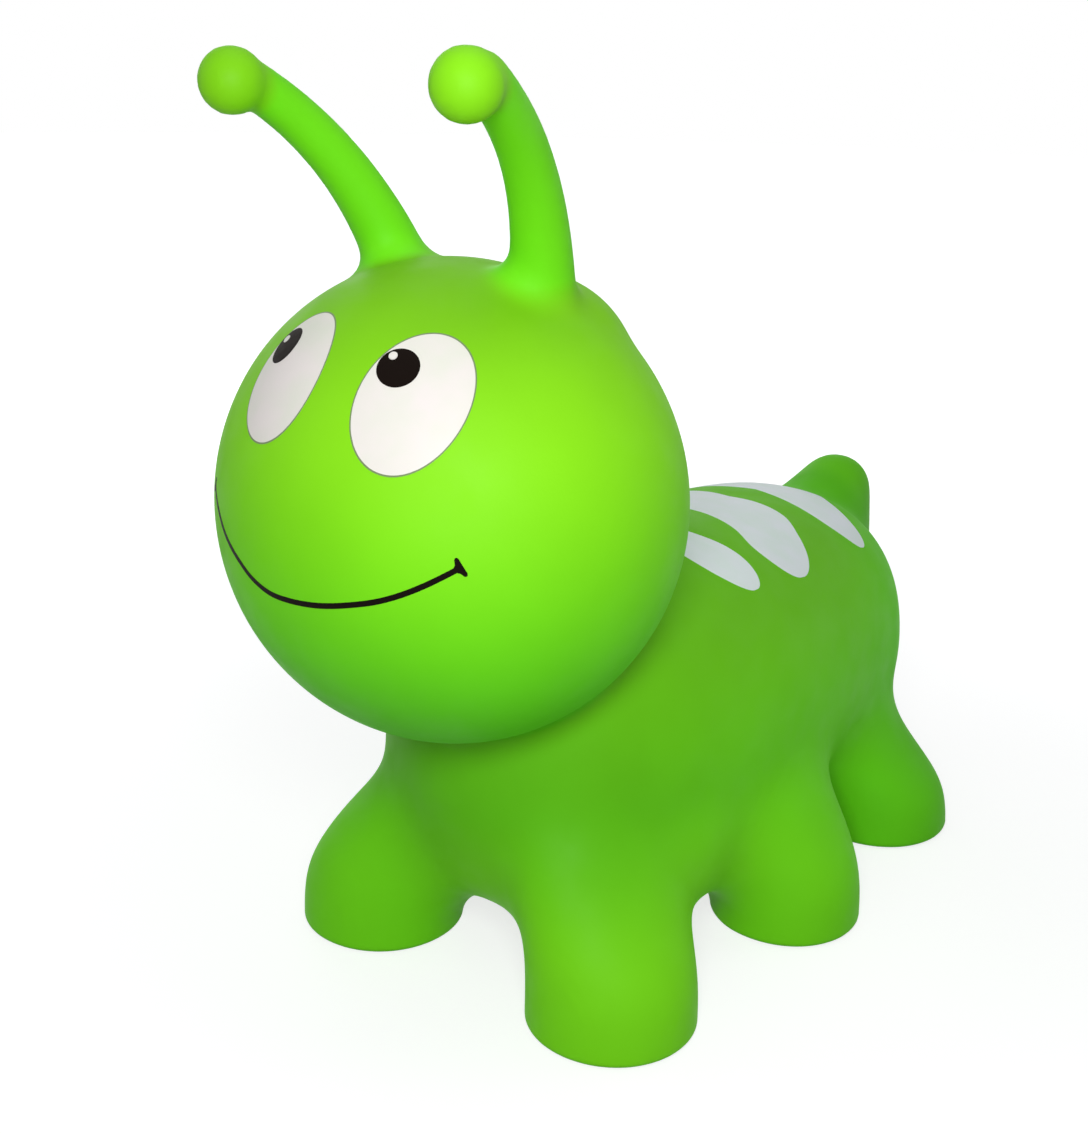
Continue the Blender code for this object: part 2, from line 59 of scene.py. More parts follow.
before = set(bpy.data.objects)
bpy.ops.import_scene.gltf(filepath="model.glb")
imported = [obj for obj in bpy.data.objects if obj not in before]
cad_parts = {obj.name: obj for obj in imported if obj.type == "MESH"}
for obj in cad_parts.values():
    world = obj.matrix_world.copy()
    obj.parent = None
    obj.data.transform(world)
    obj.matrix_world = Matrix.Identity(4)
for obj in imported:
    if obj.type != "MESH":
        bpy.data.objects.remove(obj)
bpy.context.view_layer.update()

SIDES = {"left": 1, "right": -1}

# Head, an ellipsoid a little short from front to back
HEAD_CENTRE = Vector((0.0, -0.1954, 0.3104))
HEAD_RADII = Vector((0.1311, 0.1253, 0.1326))

# Torso, as keys of (distance along Y, height of the back, height of the belly, half width, how much
# narrower its section gets upwards)
TORSO_KEYS = (
    (-0.200, 0.215, 0.068, 0.060, 0.00),
    (-0.160, 0.240, 0.044, 0.083, 0.00),
    (-0.100, 0.256, 0.032, 0.107, 0.00),
    (-0.010, 0.256, 0.029, 0.117, 0.00),
    (0.090, 0.245, 0.031, 0.114, 0.02),
    (0.190, 0.2335, 0.041, 0.102, 0.06),
    (0.240, 0.212, 0.050, 0.088, 0.10),
    (0.282, 0.156, 0.061, 0.072, 0.12),
)
CHEST_ROUND = 0.050
RUMP_ROUND = 0.075
TORSO_SQUARENESS = 2.4

# Degrees from a pole of the torso to its first ring
POLE_GAP = 3

# Legs, as keys of (height, radius across, radius along, drift towards the body from 0 to 1)
FEET = {
    "front_left": (0.0932, -0.1592), "front_right": (-0.0925, -0.1505),
    "mid_left": (0.1156, 0.016), "mid_right": (-0.1156, 0.016),
    "rear_left": (0.105, 0.178), "rear_right": (-0.105, 0.178),
}
LEG_KEYS = {
    "front": (
        (-0.03, 0.052, 0.052, 0.0), (0.0, 0.052, 0.052, 0.0), (0.03, 0.0516, 0.052, 0.012),
        (0.05, 0.0487, 0.054, 0.088), (0.08, 0.0462, 0.059, 0.328), (0.11, 0.045, 0.064, 0.655),
        (0.14, 0.043, 0.066, 1.0),
    ),
    "mid": (
        (-0.03, 0.0495, 0.0495, 0.0), (0.0, 0.0495, 0.0495, 0.0), (0.03, 0.0495, 0.05, 0.02),
        (0.05, 0.049, 0.053, 0.12), (0.08, 0.048, 0.059, 0.38), (0.11, 0.0465, 0.064, 0.7),
        (0.14, 0.043, 0.066, 1.0),
    ),
    "rear": (
        (-0.03, 0.052, 0.052, 0.0), (0.0, 0.052, 0.052, 0.0), (0.03, 0.0508, 0.0518, 0.045),
        (0.05, 0.0464, 0.0525, 0.215), (0.08, 0.0405, 0.056, 0.5), (0.11, 0.0362, 0.0595, 0.755),
        (0.14, 0.034, 0.062, 1.0),
    ),
}
LEG_DRIFT = {"front": (0.068, 0.05), "mid": (0.072, 0.0), "rear": (0.072, -0.024)}
LEG_BOTTOM = -0.030
LEG_TOP = 0.135

# The flank hangs low between the front and the middle legs
FLANK_AT = (0.086, -0.070, 0.083)
FLANK_RADII = (0.030, 0.060, 0.046)

# Antennae, as root, bend and tip of their curve on each side
ANTENNAE = {
    "left": ((0.0506, -0.1864, 0.4331), (0.0624, -0.2048, 0.5072), (0.0878, -0.2905, 0.543)),
    "right": ((-0.049, -0.1812, 0.4315), (-0.0656, -0.2052, 0.5012), (-0.0814, -0.2716, 0.5352)),
}
ANTENNA_RADII = (0.0176, 0.0121)
ANTENNA_FLARE = 2
ANTENNA_BALLS = {"left": (0.0848, -0.293, 0.537), "right": (-0.0792, -0.2729, 0.5305)}
ANTENNA_BALL = 0.0169
ANTENNA_SINK = 0.15

# A slight swelling of the head behind the foot of each antenna
SWELLING_AT = (0.0294, -0.1685, 0.3765)
SWELLING_RADIUS = 0.060

# Tail, a blunt cone that leans back off the rump
TAIL_PATH = ((0.0, 0.240, 0.172), (0.0, 0.264, 0.191), (0.0, 0.2838, 0.2103))
TAIL_RADII = (0.052, 0.0305)
TAIL_END = 0.0290

# Eyes, each by its bearing and height on the head in degrees, its oval, lean, and pupil
EYES = {
    "left": {"at": (26.4, 37.4), "radii": (0.0283, 0.0390), "lean": -19.9, "egg": -0.0145,
             "pupil": (-0.0095, 0.0164), "pupil_radii": (0.0109, 0.0108), "glint": (-0.0132, 0.0229)},
    "right": {"at": (-18.8, 38.7), "radii": (0.0266, 0.0383), "lean": 8.3, "egg": -0.056,
              "pupil": (-0.0154, 0.0133), "pupil_radii": (0.0091, 0.0112), "glint": (-0.0204, 0.0166)},
}
GLINT_RADIUS = 0.0023

# Mouth, an arc round a point in front of the head, as (angle, radius) keys in degrees and metres
MOUTH_CENTRE = (0.0, 0.4150)
MOUTH_KEYS = (
    (-42.0, 0.1225), (-35.7, 0.1232), (-29.0, 0.1251), (-21.0, 0.1266), (-16.0, 0.1284), (-9.0, 0.1295),
    (-2.0, 0.1284), (4.0, 0.1276), (14.0, 0.1270), (22.0, 0.1277), (27.0, 0.1280), (36.0, 0.1284),
    (38.9, 0.1287),
)
MOUTH_THINNING = 0.12

# The tick across each end of the mouth, as keys of (distance past the line's end, half its length there)
TICK_KEYS = (
    (0.0003, 0.0017), (0.0010, 0.0023), (0.0014, 0.0033), (0.0017, 0.0043), (0.0022, 0.0050),
    (0.0029, 0.0051), (0.0033, 0.0047), (0.0036, 0.0039),
)
TICK_LEAN = 12

# Stripes over the back, alike on both sides, as keys of (distance across, middle along Y, half width)
STRIPES = {
    "front": (
        (0.0, -0.025, 0.0165), (0.038, -0.017, 0.0182), (0.057, -0.0128, 0.0223),
        (0.07, -0.0091, 0.0236), (0.0885, -0.003, 0.0225),
    ),
    "middle": (
        (0.0, 0.0815, 0.0325), (0.02, 0.0835, 0.034), (0.045, 0.078, 0.0353),
        (0.065, 0.0655, 0.0346), (0.0895, 0.058, 0.03),
    ),
    "rear": (
        (0.0, 0.183, 0.03), (0.02, 0.179, 0.0315), (0.038, 0.17, 0.0262),
        (0.06, 0.1655, 0.024), (0.08, 0.168, 0.0235),
    ),
}

# Power of each stripe's rounding, and the share of its sweep that is left off at each end
STRIPE_ROUNDING = {"front": 6, "middle": 6, "rear": 4}
STRIPE_TRIM = 0.02

# Planes that divide the skin
NECK_PLANE = (Vector((0.0, -0.081, 0.256)), Vector((0.0, -0.548, 0.836)).normalized())
TAIL_PLANE = (Vector((0.0, 0.266, 0.2005)), Vector((0.0, 0.51, 0.86)).normalized())
LEG_PLANE_AT = (0.083, 0.085)
LEG_PLANE_SLOPE = 0.5
LEG_INNER = 0.045
LEG_SECTORS = (-0.070, 0.095)
TAIL_ABOVE = 0.15
CUT_SPARE = 0.01

# Where an antenna is cut off and where its bend ends, as shares of its curve, and how wide the cut is
ANTENNA_CUT = 0.05
ANTENNA_FLEX_END = 0.31
ANTENNA_REACH = 0.028

# Painted light on the antennae: how much of the lit green the skin gets, and how far painted warm light
# from above tints it yellow, each from 0 to 1
STEM_TONES = (1.0, 0.32)
BALL_TONES = (0.68, 0.95)

# The body's tones take over from the head's between these multiples of the head's own radii
HEAD_EDGE = (1.01, 1.06)

# Spacing of the remeshes that leave each fillet, and in how many steps the body shrinks back
LEG_REMESH = (0.004, 6)
TAIL_REMESH = (0.0035, 4)
NECK_REMESH = (0.003, 3)
ROOT_REMESH = (0.0025, 4)
BALL_REMESH = (0.0025, 2)

# What the remeshes take off the skin's surface
REMESH_LOSS = 0.00024

# Rounds of smoothing that take the remeshes' grain off, and the factors that draw it in and out again
EVENING_ROUNDS = 8
EVENING_FACTORS = (0.5, -0.52)

# Degrees of turn above which an edge stays sharp, on a print and on the valve
PRINT_EDGE = 50
VALVE_EDGE = 40

# Width of the line round an eye, and of the plain rim round its pupil and glint
EYE_RIM = 0.0007
PLAIN_RIM = 0.0004

# How far off the head the prints of an eye and of the mouth start before they are laid on it
EYE_ABOVE = 0.03
MOUTH_AHEAD = 0.2

# Valve: its place, the radius of its hole, and a height that only the belly lies under
VALVE_AT = (0.0, 0.050)
VALVE_HOLE = 0.0092
BELLY_BELOW = 0.06

# Profiles of the valve's seat and plug, of (radius, height over the seat's rim)
SEAT_PROFILE = (
    (0.0055, 0.0002), (0.006, -0.0002), (0.011, -0.0002), (0.0117, 0.0001), (0.012, 0.0008),
    (0.0118, 0.0016), (0.0105, 0.0022), (0.0087, 0.0026), (0.0085, 0.0034), (0.0085, 0.0136),
    (0.0082, 0.014), (0.0058, 0.014), (0.0055, 0.0136),
)
PLUG_HEAD = (
    (0.0, -0.0019), (0.002, -0.0019), (0.0026, -0.0022), (0.0066, -0.0022), (0.0074, -0.0019),
    (0.0078, -0.0012), (0.0078, -0.0006), (0.0075, -0.0004), (0.0044, -0.0004),
)
PLUG_RIB = ((0.0044, 0.0), (0.0051, 0.0009), (0.0052, 0.0013), (0.0045, 0.0031))
PLUG_RIB_HEIGHTS = (0.001, 0.0047, 0.0084)
PLUG_TIP = ((0.003, 0.0134), (0.0024, 0.014), (0.0, 0.014))

# Camera: its place, its yaw, pitch and roll in degrees, and its lens in millimetres
CAMERA_AT = Vector((0.5503, -0.8815, 0.5770))
CAMERA_TURN = (35.416, -19.043, 1.382)
CAMERA_LENS = 53.21

# Lamps, as (name, place, target, size, power): one near the camera, as a flash is, and weak wide ones
LAMPS = (
    ("key", (0.50, -0.82, 0.66), (0.0, -0.12, 0.24), 0.30, 5.7),
    ("back left", (1.2, 1.1, 0.9), (0.0, 0.0, 0.2), 1.2, 2.2),
    ("back right", (-1.3, 0.7, 0.9), (0.0, 0.0, 0.2), 1.2, 3.0),
    ("front right", (-1.3, -0.9, 1.0), (0.0, 0.0, 0.2), 1.2, 2.6),
    ("top", (0.0, 0.1, 1.8), (0.0, 0.0, 0.2), 1.5, 5.5),
)
AMBIENT = 0.17
AMBIENT_TINT = (0.92, 1.00, 1.06)

# The floor's radius, its glow under the object, and the distances over which the glow turns white
FLOOR_RADIUS = 6.0
FLOOR_GLOW = 0.75
FLOOR_FADE = (0.25, 1.2)

PARTS = ["torso", "head", "tail"]
PARTS += [f"leg_{name}" for name in FEET]
PARTS += [f"antenna_{side}" for side in SIDES]


def linear(code):
    """Linear colour from an sRGB hex code."""
    channels = [int(code[i:i + 2], 16) / 255 for i in (1, 3, 5)]
    return tuple(c / 12.92 if c <= 0.04045 else ((c + 0.055) / 1.055) ** 2.4 for c in channels)


def length(name, description, default, low, high):
    """A length that a maker can set."""
    return bpy.props.FloatProperty(
        name=name, description=description, default=default, min=low, max=high, unit="LENGTH")


def colour(name, description, code):
    """A colour that a maker can set, from its sRGB hex code."""
    return bpy.props.FloatVectorProperty(
        name=name, description=description, default=linear(code), min=0.0, max=1.0, subtype="COLOR")


class HopperSizes(bpy.types.PropertyGroup):
    """Sizes that a maker would change"""

    wall: length("Wall", "Thickness of the vinyl skin", 0.002, 0.0005, 0.004)
    leg_fillet: length("Leg fillet", "Radius of the webs where the legs swell out", 0.021, 0.005, 0.04)
    tail_fillet: length("Tail fillet", "Radius where the tail rises from the rump", 0.020, 0.004, 0.03)
    neck_fillet: length("Neck fillet", "Radius of the crease under the head", 0.006, 0.003, 0.02)
    root_fillet: length("Root fillet", "Radius where the antennae leave the head", 0.007, 0.003, 0.015)
    ball_fillet: length("Ball fillet", "Radius of the neck behind each ball end", 0.005, 0.003, 0.012)
    sole_round: length("Sole edge", "Radius of the edge round each sole", 0.0042, 0.001, 0.01)
    film: length("Ink film", "Height of a print over what it is printed on", 0.00014, 0.00005, 0.0005)
    mouth_line: length("Mouth line", "Width of the mouth's line", 0.0031, 0.001, 0.006)


class HopperColours(bpy.types.PropertyGroup):
    """Colours that a maker would change"""

    # The two greens are lit and shaded copies of one vinyl: the deep one is painted shade on the back, the
    # rump and in the creases, and the other is painted light on the swellings
    vinyl: colour("Vinyl", "Skin where it lies thin, over the swellings", "#64E416")
    vinyl_shaded: colour("Vinyl, deep", "Skin where it lies thick, on the back and in the creases", "#52BA10")
    eye_ink: colour("Eye ink", "Warm white ink of the eyes", "#ECE4E1")
    stripe_ink: colour("Stripe ink", "Cool white ink of the stripes", "#F0F7F9")
    black_ink: colour("Black ink", "Ink of the pupils and the mouth", "#150E0B")
    outline: colour("Eye outline", "Thin line where the white ink ends round an eye", "#74885A")
    valve: colour("Valve", "Clear vinyl of the valve", "#E4E6DE")
    floor: colour("Floor", "Plain floor of the studio", "#A0A0A0")


def value_at(keys, t):
    """Values at t on the smooth curves through keys of (t, value, value...)."""
    last = len(keys) - 1
    i = min(max(sum(key[0] <= t for key in keys) - 1, 0), last - 1)
    before, start, end, after = (keys[min(max(i + step, 0), last)] for step in (-1, 0, 1, 2))
    span = end[0] - start[0]
    s = min(max((t - start[0]) / span, 0.0), 1.0)
    values = []
    for k in range(1, len(start)):
        slope_in = (end[k] - before[k]) / (end[0] - before[0]) * span
        slope_out = (after[k] - start[k]) / (after[0] - start[0]) * span
        values.append(
            (2 * s**3 - 3 * s**2 + 1) * start[k]
            + (s**3 - 2 * s**2 + s) * slope_in
            + (3 * s**2 - 2 * s**3) * end[k]
            + (s**3 - s**2) * slope_out
        )
    return values


def on_curve(path, t):
    """Point and direction at t on the curve from root over bend to tip."""
    root, bend, tip = (Vector(p) for p in path)
    point = (1 - t) ** 2 * root + 2 * t * (1 - t) * bend + t**2 * tip
    return point, ((1 - t) * (bend - root) + t * (tip - bend)).normalized()


def swept(bm, rings):
    """Extrude a circle from ring to ring into a closed body, and return its loops of vertices."""
    loop = bmesh.ops.create_circle(bm, cap_ends=False, segments=len(rings[0]), radius=1.0)["verts"]
    for vert, point in zip(loop, rings[0]):
        vert.co = point
    edges = list({edge for vert in loop for edge in vert.link_edges})
    first = edges
    loops = [loop]
    for ring in rings[1:]:
        made = bmesh.ops.extrude_edge_only(bm, edges=edges)["geom"]
        new = {item for item in made if isinstance(item, bmesh.types.BMVert)}
        edges = [item for item in made if isinstance(item, bmesh.types.BMEdge)]
        loop = [next(e.other_vert(v) for e in v.link_edges if e.other_vert(v) in new) for v in loop]
        for vert, point in zip(loop, ring):
            vert.co = point
        loops.append(loop)
    bmesh.ops.holes_fill(bm, edges=first, sides=0)
    bmesh.ops.holes_fill(bm, edges=edges, sides=0)
    return loops


def new_object(name, bm):
    mesh = bpy.data.meshes.new(name)
    bm.to_mesh(mesh)
    bm.free()
    thing = bpy.data.objects.new(name, mesh)
    bpy.context.scene.collection.objects.link(thing)
    return thing


def edged(name, bm, edge):
    """An object of a closed body, sharp where its surface turns by more than that many degrees."""
    bmesh.ops.recalc_face_normals(bm, faces=bm.faces)
    thing = new_object(name, bm)
    thing.data.set_sharp_from_angle(angle=math.radians(edge))
    return thing


def torso_rings(points=96, steps=48, round_steps=14):
    """Rings of the barrel, a slightly squared oval in section, to a few degrees from its poles."""
    front = TORSO_KEYS[0][0]
    back = TORSO_KEYS[-1][0]
    angles = [math.radians(POLE_GAP + (90 - POLE_GAP) * k / round_steps) for k in range(round_steps)]
    straight = back - RUMP_ROUND - front - CHEST_ROUND
    stations = [(front + CHEST_ROUND * (1 - math.cos(a)), math.sin(a)) for a in angles]
    stations += [(front + CHEST_ROUND + straight * k / steps, 1.0) for k in range(steps + 1)]
    stations += [(back - RUMP_ROUND * (1 - math.cos(a)), math.sin(a)) for a in reversed(angles)]
    rings = []
    for y, share in stations:
        top, belly, half_width, taper = value_at(TORSO_KEYS, y)
        ring = []
        for k in range(points):
            c = math.cos(math.tau * k / points)
            s = math.sin(math.tau * k / points)
            across = math.copysign(abs(c) ** (2 / TORSO_SQUARENESS), c)
            up = math.copysign(abs(s) ** (2 / TORSO_SQUARENESS), s)
            x = half_width * share * across * (1 - taper * up)
            ring.append((x, y, (top + belly) / 2 + (top - belly) / 2 * share * up))
        rings.append(ring)
    return rings


def leg_rings(name, points=64, steps=22):
    """Level rings of a leg, from below the floor up into the barrel."""
    pair, side = name.split("_")
    inward, along_body = LEG_DRIFT[pair]
    angles = [math.tau * k / points for k in range(points)]
    rings = []
    for step in range(steps + 1):
        z = LEG_BOTTOM + (LEG_TOP - LEG_BOTTOM) * step / steps
        across, along, drift = value_at(LEG_KEYS[pair], z)
        x = FEET[name][0] - SIDES[side] * inward * drift
        y = FEET[name][1] + along_body * drift
        rings.append([(x + across * math.cos(a), y + along * math.sin(a), z) for a in angles])
    return rings


def limb_rings(path, radii, start=0.0, flare=1, points=40, steps=28):
    """Rings along a bent, tapered limb. The higher flare is, the nearer the root it thickens."""
    angles = [math.tau * k / points for k in range(points)]
    rings = []
    for step in range(steps + 1):
        t = start + (1 - start) * step / steps
        point, along = on_curve(path, t)
        radius = radii[1] + (radii[0] - radii[1]) * (1 - t) ** flare
        turn = along.to_track_quat("Z", "Y")
        circle = [Vector((radius * math.cos(a), radius * math.sin(a), 0.0)) for a in angles]
        rings.append([point + turn @ spot for spot in circle])
    return rings


def ball(bm, centre, radii, segments=64):
    """A ball or an ellipsoid."""
    made = bmesh.ops.create_uvsphere(bm, u_segments=segments, v_segments=segments // 2, radius=1.0)
    verts = made["verts"]
    bmesh.ops.scale(bm, vec=radii, verts=verts)
    bmesh.ops.translate(bm, vec=centre, verts=verts)


def baked(thing):
    """Apply the modifiers of a helper object."""
    graph = bpy.context.evaluated_depsgraph_get()
    mesh = bpy.data.meshes.new_from_object(thing.evaluated_get(graph))
    thing.modifiers.clear()
    thing.data = mesh


def remeshed(thing, spacing):
    modifier = thing.modifiers.new("remesh", "REMESH")
    modifier.mode = "VOXEL"
    modifier.voxel_size = spacing


def pushed(thing, distance):
    modifier = thing.modifiers.new("push", "DISPLACE")
    modifier.mid_level = 0.0
    modifier.strength = distance
    modifier.direction = "NORMAL"


def filleted(thing, radius, spacing, steps):
    """Swell a body and shrink it back in steps, which leaves a fillet of that radius in every crease."""
    remeshed(thing, spacing)
    pushed(thing, radius)
    remeshed(thing, spacing)
    baked(thing)
    for _ in range(steps):
        pushed(thing, -radius / steps)
        remeshed(thing, spacing)
    baked(thing)


def evened(thing):
    """Take the remeshes' grain off without shrinking the body, and give back what they took."""
    pushed(thing, REMESH_LOSS)
    for _ in range(EVENING_ROUNDS):
        for factor in EVENING_FACTORS:
            modifier = thing.modifiers.new("even", "SMOOTH")
            modifier.factor = factor
            modifier.iterations = 1
    baked(thing)


def added(thing, build):
    """Add the bodies that build makes to a helper object's mesh."""
    bm = bmesh.new()
    build(bm)
    bmesh.ops.recalc_face_normals(bm, faces=bm.faces)
    bm.from_mesh(thing.data)
    bm.to_mesh(thing.data)
    bm.free()
    return thing


def build_barrel(bm):
    swept(bm, torso_rings())
    for name in FEET:
        swept(bm, leg_rings(name))
    for side in SIDES.values():
        ball(bm, (side * FLANK_AT[0], *FLANK_AT[1:]), FLANK_RADII)


def build_tail(bm):
    swept(bm, limb_rings(TAIL_PATH, TAIL_RADII))
    ball(bm, TAIL_PATH[-1], (TAIL_END,) * 3)


def build_head(bm):
    ball(bm, HEAD_CENTRE, HEAD_RADII, 128)


def build_stems(bm):
    for side in SIDES.values():
        ball(bm, (side * SWELLING_AT[0], *SWELLING_AT[1:]), (SWELLING_RADIUS,) * 3)
    for path in ANTENNAE.values():
        swept(bm, limb_rings(path, ANTENNA_RADII, -ANTENNA_SINK, ANTENNA_FLARE))


def build_balls(bm):
    for centre in ANTENNA_BALLS.values():
        ball(bm, centre, (ANTENNA_BALL,) * 3)


def close_soles(bm, radius):
    """Cut the legs off just above the floor and turn their rims in to flat soles."""
    cut = bmesh.ops.bisect_plane(
        bm, geom=bm.verts[:] + bm.edges[:] + bm.faces[:], dist=1e-5,
        plane_co=(0, 0, radius), plane_no=(0, 0, 1), clear_inner=True)["geom_cut"]
    rim = [item for item in cut if isinstance(item, bmesh.types.BMEdge)]
    steps = 6
    for step in range(1, steps + 1):
        before = math.pi / 2 * (step - 1) / steps
        now = math.pi / 2 * step / steps
        made = bmesh.ops.extrude_edge_only(bm, edges=rim)["geom"]
        rim = [item for item in made if isinstance(item, bmesh.types.BMEdge)]
        for vert in (item for item in made if isinstance(item, bmesh.types.BMVert)):
            foot = min((Vector(at) for at in FEET.values()), key=lambda at: (at - vert.co.xy).length)
            inward = (foot - vert.co.xy).normalized() * radius * (math.cos(before) - math.cos(now))
            vert.co.x += inward.x
            vert.co.y += inward.y
            vert.co.z = radius * (1 - math.sin(now))
    bmesh.ops.holes_fill(bm, edges=rim, sides=0)


def open_valve(bm):
    """Open a round hole in the belly for the valve seat."""
    centre = Vector(VALVE_AT)
    near = [f for f in bm.faces if f.calc_center_median().z < BELLY_BELOW
            and (f.calc_center_median().xy - centre).length < VALVE_HOLE]
    bmesh.ops.delete(bm, geom=near, context="FACES")
    for edge in bm.edges:
        if edge.is_boundary and (edge.verts[0].co.xy - centre).length < 2 * VALVE_HOLE:
            for vert in edge.verts:
                x, y = centre + (vert.co.xy - centre).normalized() * VALVE_HOLE
                vert.co.x = x
                vert.co.y = y


def part_at(point):
    """Name of the part of the skin that a point belongs to."""
    side = "left" if point.x > 0 else "right"
    root, along = on_curve(ANTENNAE[side], ANTENNA_CUT)
    rise = (point - root).dot(along)
    off = (point - root - rise * along).length
    if point.z > HEAD_CENTRE.z and rise > 0 and (off < ANTENNA_REACH or rise > ANTENNA_REACH):
        return f"antenna_{side}"
    if (point - NECK_PLANE[0]).dot(NECK_PLANE[1]) > 0:
        return "head"
    if (point - TAIL_PLANE[0]).dot(TAIL_PLANE[1]) > 0 and point.z > TAIL_ABOVE:
        return "tail"
    rise = LEG_PLANE_AT[1] + LEG_PLANE_SLOPE * (abs(point.x) - LEG_PLANE_AT[0])
    if abs(point.x) > LEG_INNER and point.z < rise:
        pair = list(LEG_DRIFT)[sum(point.y > y for y in LEG_SECTORS)]
        return f"leg_{pair}_{side}"
    return "torso"


def divide(bm):
    """Cut the skin along the planes between its parts and label every face with its part.

    Each cut takes only the faces that inside finds near its own part.
    """

    def cut(point, normal, inside):
        faces = [face for face in bm.faces if inside(face.calc_center_median())]
        edges = {edge for face in faces for edge in face.edges}
        verts = {vert for face in faces for vert in face.verts}
        bmesh.ops.bisect_plane(
            bm, geom=[*verts, *edges, *faces], dist=0.0001, plane_co=point, plane_no=normal)

    cut(*NECK_PLANE, lambda c: c.y < 0)
    cut(*TAIL_PLANE, lambda c: c.y > 0.2 and c.z > TAIL_ABOVE - CUT_SPARE)
    for side, sign in SIDES.items():
        root, along = on_curve(ANTENNAE[side], ANTENNA_CUT)
        cut(root, along, lambda c, root=root: (c - root).length < ANTENNA_REACH)
        tilt = Vector((-sign * LEG_PLANE_SLOPE, 0.0, 1.0)).normalized()
        cut(Vector((sign * LEG_PLANE_AT[0], 0.0, LEG_PLANE_AT[1])), tilt,
            lambda c, sign=sign: c.z < 0.16 and c.x * sign > LEG_INNER - CUT_SPARE)
        cut(Vector((sign * LEG_INNER, 0.0, 0.0)), Vector((1, 0, 0)),
            lambda c, sign=sign: c.z < 0.09 and c.x * sign > 0)
    for y in LEG_SECTORS:
        cut(Vector((0.0, y, 0.0)), Vector((0, 1, 0)),
            lambda c: c.z < 0.13 and abs(c.x) > LEG_INNER - CUT_SPARE)
    label = bm.faces.layers.int.new("part")
    for face in bm.faces:
        face[label] = PARTS.index(part_at(face.calc_center_median()))


def blow_mould(sizes):
    """The whole skin as one helper body, divided and labelled, with its outward directions kept."""
    mould = new_object("mould", bmesh.new())
    mould.hide_render = True
    filleted(added(mould, build_barrel), sizes.leg_fillet, *LEG_REMESH)
    filleted(added(mould, build_tail), sizes.tail_fillet, *TAIL_REMESH)
    filleted(added(mould, build_head), sizes.neck_fillet, *NECK_REMESH)
    filleted(added(mould, build_stems), sizes.root_fillet, *ROOT_REMESH)
    filleted(added(mould, build_balls), sizes.ball_fillet, *BALL_REMESH)
    evened(mould)
    bm = bmesh.new()
    bm.from_mesh(mould.data)
    bmesh.ops.recalc_face_normals(bm, faces=bm.faces)
    close_soles(bm, sizes.sole_round)
    open_valve(bm)
    divide(bm)
    bm.normal_update()
    outward = bm.verts.layers.float_vector.new("outward")
    for vert in bm.verts:
        vert[outward] = vert.normal
    bm.to_mesh(mould.data)
    bm.free()


def the_mould():
    mould = bpy.data.objects.get("mould")
    if mould is None:
        raise RuntimeError("blow the mould first")
    return mould


def skin_tree():
    """The whole skin as a tree for laying prints on it."""
    bm = bmesh.new()
    bm.from_mesh(the_mould().data)
    tree = BVHTree.FromBMesh(bm)
    bm.free()
    return tree


def finished(thing, material):
    """Give a piece its material, smooth shading and slot."""
    thing.data.materials.clear()
    thing.data.materials.append(material)
    thing.data.shade_smooth()


def standing_for(node_name, thing, material, body="skin"):
    """Finish a piece that stands for one CAD node and rides on one body."""
    finished(thing, material)
    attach(thing, body)
    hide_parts(node_name)


def eased(low, high, values):
    """0 below low, 1 above high, and smooth between them."""
    t = np.clip((values - low) / (high - low), 0, 1)
    return t * t * (3 - 2 * t)


def body_tones(x, y, z):
    """Painted light on barrel, tail and legs: lit on the flanks and in the front legs, painted shade on the
    rump, and a painted warm tint of light from above, which grows with height, fades towards the rump and
    is stronger on the front legs and the left side.
    """
    rump = eased(0.20, 0.28, y)
    in_tail = eased(0.20, 0.23, z) * eased(0.25, 0.27, y)
    in_legs = 1 - eased(0.05, 0.13, z)
    swell = eased(0.03, 0.10, z) * (1 - eased(0.15, 0.24, z)) * eased(-0.18, -0.04, y)
    lit_skin_and_thin_ink = (0.12 + 0.85 * swell) * (1 - rump) + 0.28 * in_tail
    leg_lit = 0.85 - 1.1 * eased(0.10, 0.30, y)
    warm_light_from_above = (0.30 + 0.30 * eased(0.12, 0.24, z)) * (1 - 0.75 * eased(0.10, 0.25, y)) + 0.15 * in_tail
    leg_warm_light = (0.60 - 0.40 * eased(-0.16, 0.18, y)) * (0.7 + 0.3 * eased(-0.06, 0.02, x))
    return lit_skin_and_thin_ink + (leg_lit - lit_skin_and_thin_ink) * in_legs, warm_light_from_above + (leg_warm_light - warm_light_from_above) * in_legs


def head_tones(x, z):
    """Painted light on the head: lit most at the middle of the face and a little on the left cheek, painted
    shade on the crown, and a painted warm tint of light from above from the cheeks up.
    """
    face = eased(0.17, 0.27, z)
    crown = eased(0.35, 0.47, z)
    lit_left_cheek = eased(0.02, 0.10, x)
    warm_light_on_head = eased(0.20, 0.40, z)
    return (0.15 + 0.70 * face) * (1 - crown) + 0.15 * lit_left_cheek, warm_light_on_head


